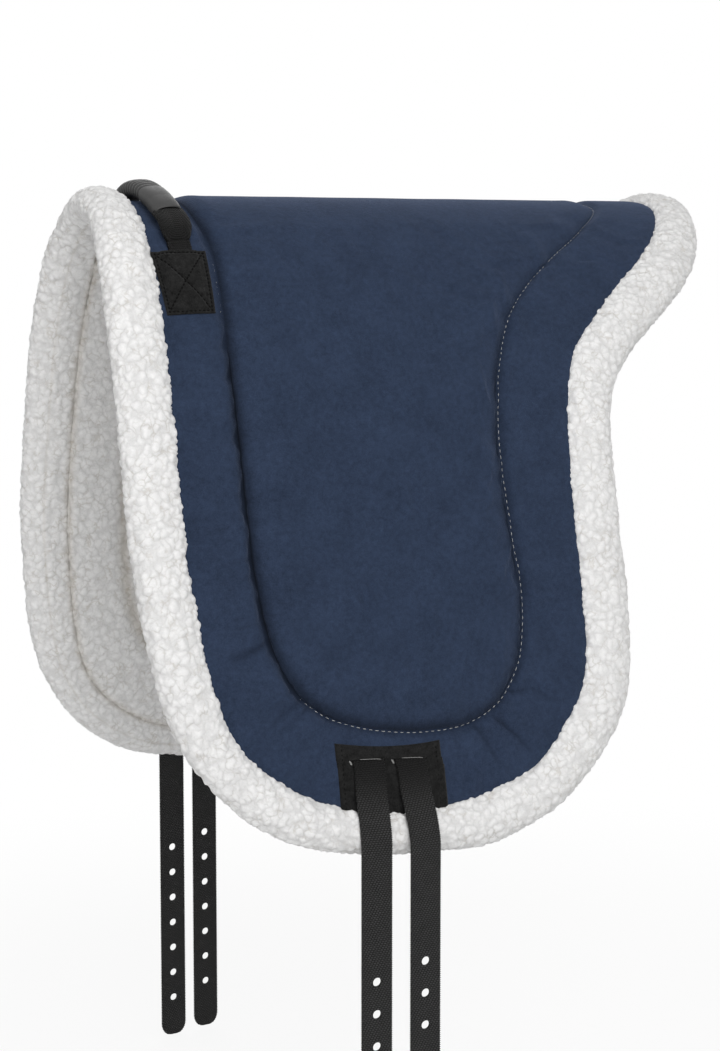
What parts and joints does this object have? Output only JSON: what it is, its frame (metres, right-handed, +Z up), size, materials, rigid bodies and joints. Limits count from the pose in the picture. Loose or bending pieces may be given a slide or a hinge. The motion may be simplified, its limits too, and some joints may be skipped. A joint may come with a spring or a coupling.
{
  "type": "bareback pad",
  "caption": "Saddle-shaped bareback riding pad: quilted suede top, rolled fleece edge and lining, grab handle at the pommel and punched girth straps hanging from each flap.",
  "frame": {"origin": "on the fleece underside, on the spine, half way along the pad", "axes": "-X towards the pommel (the horse's head), +X towards the cantle, -Y near side, +Y off side, +Z up"},
  "size_m": [0.5833, 0.434, 0.813],
  "materials": {
    "suede": "navy suede-look cloth with a soft nap",
    "fleece": "off-white teddy fleece",
    "foam": "padding foam",
    "webbing": "black woven webbing",
    "patch": "matt black reinforcement cloth, stitched",
    "grip": "dark moulded grip, satin"
  },
  "bodies": {
    "seat": {"seat_cover": "suede", "seat_foam": "foam", "seat_lining": "fleece", "pommel_roll": "fleece", "cantle_roll": "fleece", "near_handle_patch": "patch", "off_handle_patch": "patch", "near_handle_end": "webbing", "off_handle_end": "webbing"},
    "near_flap": {"near_flap_cover": "suede", "near_flap_foam": "foam", "near_flap_lining": "fleece", "near_flap_roll": "fleece", "near_girth_patch": "patch"},
    "off_flap": {"off_flap_cover": "suede", "off_flap_foam": "foam", "off_flap_lining": "fleece", "off_flap_roll": "fleece", "off_girth_patch": "patch"},
    "handle": {"handle_webbing": "webbing", "handle_grip": "grip"},
    "near_front_upper": {"near_front_strap_upper": "webbing"},
    "near_front_lower": {"near_front_strap_lower": "webbing"},
    "near_rear_upper": {"near_rear_strap_upper": "webbing"},
    "near_rear_lower": {"near_rear_strap_lower": "webbing"},
    "off_front_upper": {"off_front_strap_upper": "webbing"},
    "off_front_lower": {"off_front_strap_lower": "webbing"},
    "off_rear_upper": {"off_rear_strap_upper": "webbing"},
    "off_rear_lower": {"off_rear_strap_lower": "webbing"}
  },
  "joints": [
    {"name": "near_flap_lift", "type": "hinge", "parent": "seat", "child": "near_flap", "pos_m": [-0.035, -0.12092, -0.07451], "axis": [-0.9978, 0.0235, -0.0623], "range_deg": [-6, 30], "stiffness_Nm_per_rad": 4, "springref_deg": 3.44},
    {"name": "off_flap_lift", "type": "hinge", "parent": "seat", "child": "off_flap", "pos_m": [-0.035, 0.12092, -0.07451], "axis": [0.9978, 0.0235, 0.0623], "range_deg": [-6, 30], "stiffness_Nm_per_rad": 4, "springref_deg": 3.44},
    {"name": "handle_tip", "type": "hinge", "parent": "seat", "child": "handle", "pos_m": [-0.226, 0, -0.03182], "axis": [0, 1, 0], "range_deg": [-8, 10], "stiffness_Nm_per_rad": 1},
    {"name": "near_front_slot", "type": "hinge", "parent": "near_flap", "child": "near_front_upper", "pos_m": [-0.1213, -0.19451, -0.42153], "axis": [-0.9959, 0.0566, -0.0701], "range_deg": [0, 100]},
    {"name": "near_front_bend", "type": "hinge", "parent": "near_front_upper", "child": "near_front_lower", "pos_m": [-0.1239, -0.21314, -0.48676], "axis": [-0.9984, 0.0567, 0], "range_deg": [-25, 60]},
    {"name": "near_rear_slot", "type": "hinge", "parent": "near_flap", "child": "near_rear_upper", "pos_m": [-0.0868, -0.19718, -0.42318], "axis": [-0.9959, 0.0564, -0.0701], "range_deg": [0, 100]},
    {"name": "near_rear_bend", "type": "hinge", "parent": "near_rear_upper", "child": "near_rear_lower", "pos_m": [-0.0834, -0.21545, -0.4839], "axis": [-0.9984, 0.0566, 0], "range_deg": [-25, 60]},
    {"name": "off_front_slot", "type": "hinge", "parent": "off_flap", "child": "off_front_upper", "pos_m": [-0.1213, 0.19451, -0.42153], "axis": [0.9959, 0.0566, 0.0701], "range_deg": [0, 100]},
    {"name": "off_front_bend", "type": "hinge", "parent": "off_front_upper", "child": "off_front_lower", "pos_m": [-0.127, 0.21296, -0.48698], "axis": [0.9984, 0.0567, 0], "range_deg": [-25, 60]},
    {"name": "off_rear_slot", "type": "hinge", "parent": "off_flap", "child": "off_rear_upper", "pos_m": [-0.0868, 0.19718, -0.42318], "axis": [0.9959, 0.0565, 0.0701], "range_deg": [0, 100]},
    {"name": "off_rear_bend", "type": "hinge", "parent": "off_rear_upper", "child": "off_rear_lower", "pos_m": [-0.0925, 0.21493, -0.48454], "axis": [0.9984, 0.0566, 0], "range_deg": [-25, 60]}
  ]
}
